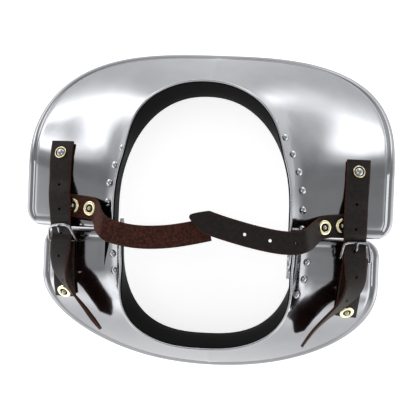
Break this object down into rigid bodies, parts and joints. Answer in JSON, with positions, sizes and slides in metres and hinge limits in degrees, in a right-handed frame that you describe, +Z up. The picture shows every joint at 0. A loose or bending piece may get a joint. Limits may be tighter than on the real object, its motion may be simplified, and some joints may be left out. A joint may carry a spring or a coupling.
{
  "type": "steel gorget",
  "caption": "Polished steel gorget with a raised rolled collar, flared back and front plates, and buckled leather straps.",
  "frame": {"origin": "centre of the bounding box at its bottom, between the lower edges of the two plates", "axes": "+X across the shoulders to the right as seen from above with the back plate at +Y, +Y from the front plate towards the back plate, +Z up through the collar"},
  "size_m": [0.313, 0.2763, 0.1221],
  "materials": {
    "plate_steel": "polished",
    "collar_steel": "polished rim, blackened satin inside",
    "rivet_steel": "polished",
    "buckle_steel": "polished",
    "washer_brass": "polished",
    "strap_leather": "smooth dark grain with reddish-brown flesh side"
  },
  "bodies": {
    "root": {"back_collar": "collar_steel", "back_plate": "plate_steel", "back_rivet_01": "rivet_steel", "back_rivet_02": "rivet_steel", "back_rivet_03": "rivet_steel", "back_rivet_04": "rivet_steel", "back_rivet_05": "rivet_steel", "back_rivet_06": "rivet_steel", "back_rivet_07": "rivet_steel", "back_rivet_08": "rivet_steel", "back_rivet_14": "rivet_steel", "back_rivet_15": "rivet_steel", "back_rivet_16": "rivet_steel", "back_rivet_17": "rivet_steel", "back_rivet_18": "rivet_steel", "back_rivet_19": "rivet_steel", "back_rivet_20": "rivet_steel", "back_rivet_21": "rivet_steel", "buckle_frame_left": "buckle_steel", "buckle_frame_right": "buckle_steel", "buckle_strap_left": "strap_leather", "buckle_strap_right": "strap_leather", "buckle_tongue_left": "buckle_steel", "buckle_tongue_right": "buckle_steel", "front_collar": "collar_steel", "front_plate": "plate_steel", "front_rivet_01": "rivet_steel", "front_rivet_02": "rivet_steel", "front_rivet_03": "rivet_steel", "front_rivet_04": "rivet_steel", "front_rivet_05": "rivet_steel", "front_rivet_06": "rivet_steel", "front_rivet_07": "rivet_steel", "front_rivet_13": "rivet_steel", "front_rivet_14": "rivet_steel", "front_rivet_15": "rivet_steel", "front_rivet_16": "rivet_steel", "front_rivet_17": "rivet_steel", "front_rivet_18": "rivet_steel", "front_rivet_19": "rivet_steel", "neck_strap_left": "strap_leather", "neck_strap_right": "strap_leather", "shoulder_strap_left": "strap_leather", "shoulder_strap_right": "strap_leather", "strap_rivet_buckle_left": "rivet_steel", "strap_rivet_buckle_right": "rivet_steel", "strap_rivet_neck_left_1": "rivet_steel", "strap_rivet_neck_left_2": "rivet_steel", "strap_rivet_neck_right_1": "rivet_steel", "strap_rivet_neck_right_2": "rivet_steel", "strap_rivet_shoulder_left": "rivet_steel", "strap_rivet_shoulder_right": "rivet_steel", "washer_buckle_left": "washer_brass", "washer_buckle_right": "washer_brass", "washer_neck_left_1": "washer_brass", "washer_neck_left_2": "washer_brass", "washer_neck_right_1": "washer_brass", "washer_neck_right_2": "washer_brass", "washer_shoulder_left": "washer_brass", "washer_shoulder_right": "washer_brass"}
  },
  "joints": []
}
